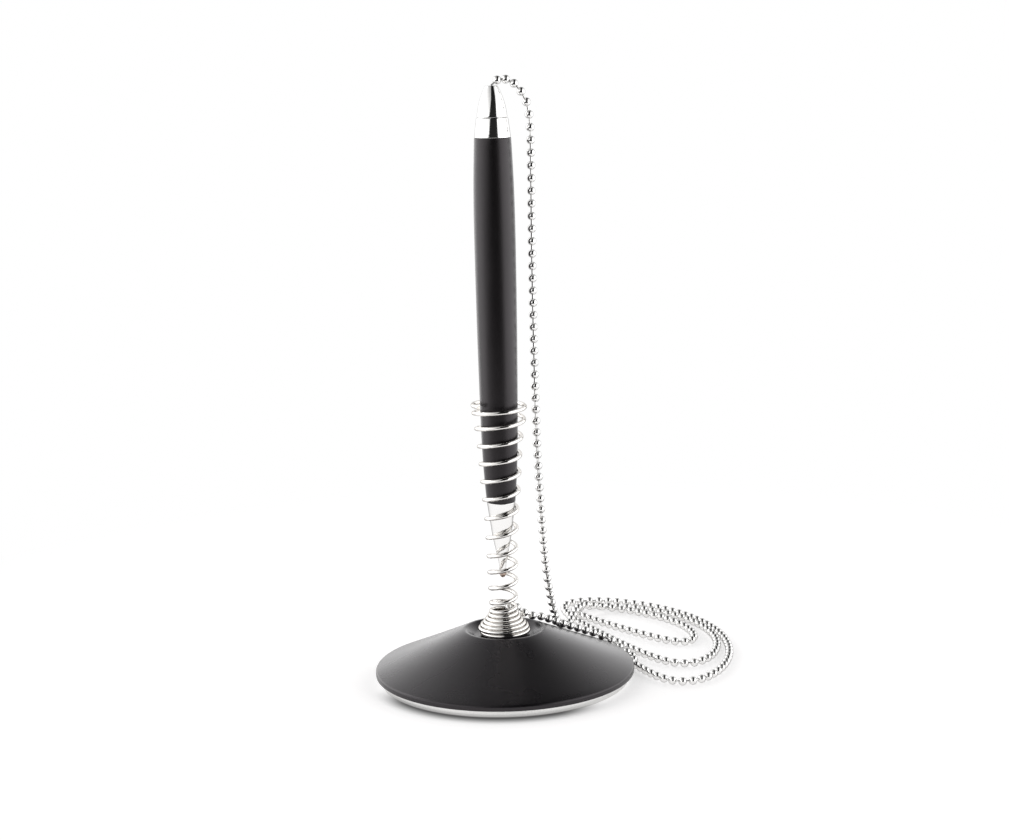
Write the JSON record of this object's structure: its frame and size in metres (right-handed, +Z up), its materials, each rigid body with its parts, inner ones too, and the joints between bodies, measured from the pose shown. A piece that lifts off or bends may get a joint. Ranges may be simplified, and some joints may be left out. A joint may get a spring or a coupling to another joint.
{
  "type": "counter pen with spring holder and ball chain",
  "caption": "Ballpoint counter pen held upright in a tapered wire spring on a low weighted dome base, tied to the base by a bright ball chain that lies in loose loops.",
  "frame": {"origin": "on the table, under the middle of the round base", "axes": "+Z up along the pen, +X to the right in the picture, +Y away from the camera"},
  "size_m": [0.1076, 0.1165, 0.175],
  "materials": {
    "base_black": "satin moulded black",
    "plate_steel": "bright turned edge",
    "ballast_iron": "as cast, turned flat",
    "pad_rubber": "matt non-slip sheet",
    "fastener_steel": "zinc plated",
    "spring_chrome": "polished wire",
    "barrel_black": "satin lacquer",
    "pen_chrome": "polished",
    "tip_brass": "turned",
    "ball_steel": "polished",
    "refill_plastic": "clear-white tube",
    "ink": "viscous ink",
    "chain_chrome": "polished beads"
  },
  "bodies": {
    "base": {"base_shell": "base_black", "base_plate": "plate_steel", "ballast_disc": "ballast_iron", "foot_pad": "pad_rubber", "plate_screws": "fastener_steel", "clamp_washer": "fastener_steel", "clamp_screw": "fastener_steel", "clamp_nut": "fastener_steel", "chain_lead": "chain_chrome", "chain_loops": "chain_chrome", "chain_return": "chain_chrome", "chain_base_end": "chain_chrome"},
    "holder": {"holder_spring": "spring_chrome"},
    "pen": {"pen_barrel": "barrel_black", "nose_cone": "pen_chrome", "refill_tip": "tip_brass", "refill_tube": "refill_plastic", "ink": "ink", "tail_collar": "pen_chrome", "tail_cone": "pen_chrome", "chain_pen_end": "chain_chrome", "chain_drop": "chain_chrome"},
    "ball": {"writing_ball": "ball_steel"}
  },
  "joints": [
    {"name": "spring_sway", "type": "hinge", "parent": "base", "child": "holder", "pos_m": [0, 0, 0.0235], "axis": [0, 1, 0], "range_deg": [-20, 20], "stiffness_Nm_per_rad": 0.06, "deforming": ["holder_spring", "chain_drop", "chain_lead"]},
    {"name": "pen_lift", "type": "slide", "parent": "holder", "child": "pen", "axis": [0, 0, 1], "range_m": [0, 0.055], "deforming": ["chain_drop"]},
    {"name": "writing_ball_roll", "type": "hinge", "parent": "pen", "child": "ball", "pos_m": [0, 0, 0.0309], "axis": [1, 0, 0], "continuous": true}
  ]
}
